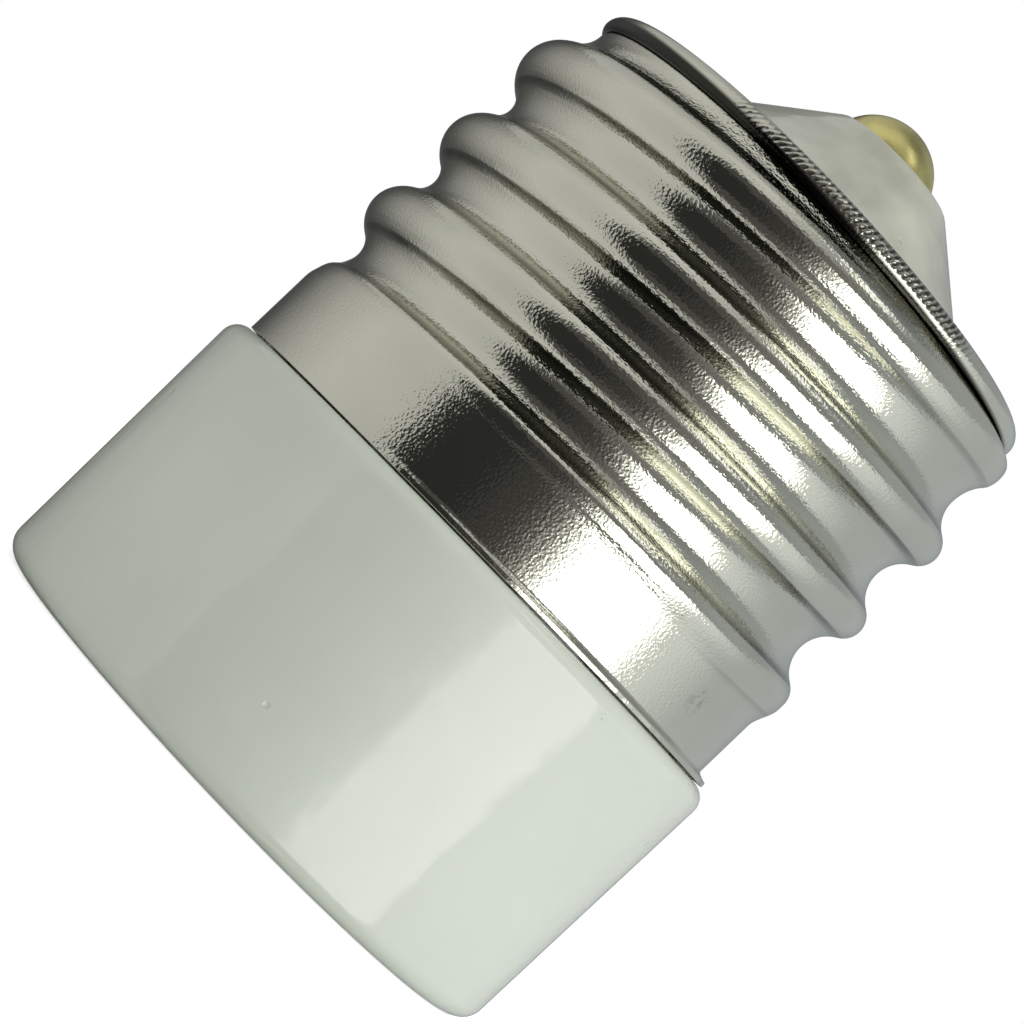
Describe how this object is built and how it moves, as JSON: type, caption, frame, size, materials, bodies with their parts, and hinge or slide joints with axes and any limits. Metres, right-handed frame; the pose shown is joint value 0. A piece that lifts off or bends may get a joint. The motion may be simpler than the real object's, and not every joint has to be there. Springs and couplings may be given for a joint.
{
  "type": "lamp socket adapter",
  "caption": "Porcelain adapter that turns a large screw lamp holder into a medium one: ribbed nickel-plated screw shell, conical porcelain nose and brass contact, open socket below.",
  "frame": {"origin": "centre of the open porcelain face, at the bottom of the part", "axes": "+Z along the cap's axis, from the open socket to the nose contact; +X towards the fold of the contact spring; the picture is taken from -Y"},
  "size_m": [0.0406, 0.0406, 0.0572],
  "materials": {
    "glazed_porcelain": "glossy pale grey-white glaze",
    "nickel_plate": "bright nickel plate on pressed brass sheet",
    "contact_brass": "bare bright brass",
    "spring_bronze": "bare spring bronze"
  },
  "bodies": {
    "adapter": {"porcelain_body": "glazed_porcelain", "outer_screw_shell": "nickel_plate", "inner_screw_shell": "nickel_plate", "centre_contact": "contact_brass", "left_shell_rivet": "contact_brass", "right_shell_rivet": "contact_brass", "link_strip": "contact_brass", "rivet_washer": "contact_brass"},
    "spring_tongue": {"contact_spring": "spring_bronze"}
  },
  "joints": [
    {"name": "contact_flex", "type": "hinge", "parent": "adapter", "child": "spring_tongue", "pos_m": [0.0046, 0, 0.0354], "axis": [0, 1, 0], "range_deg": [0, 20], "stiffness_Nm_per_rad": 0.1, "deforming": ["contact_spring"]}
  ]
}
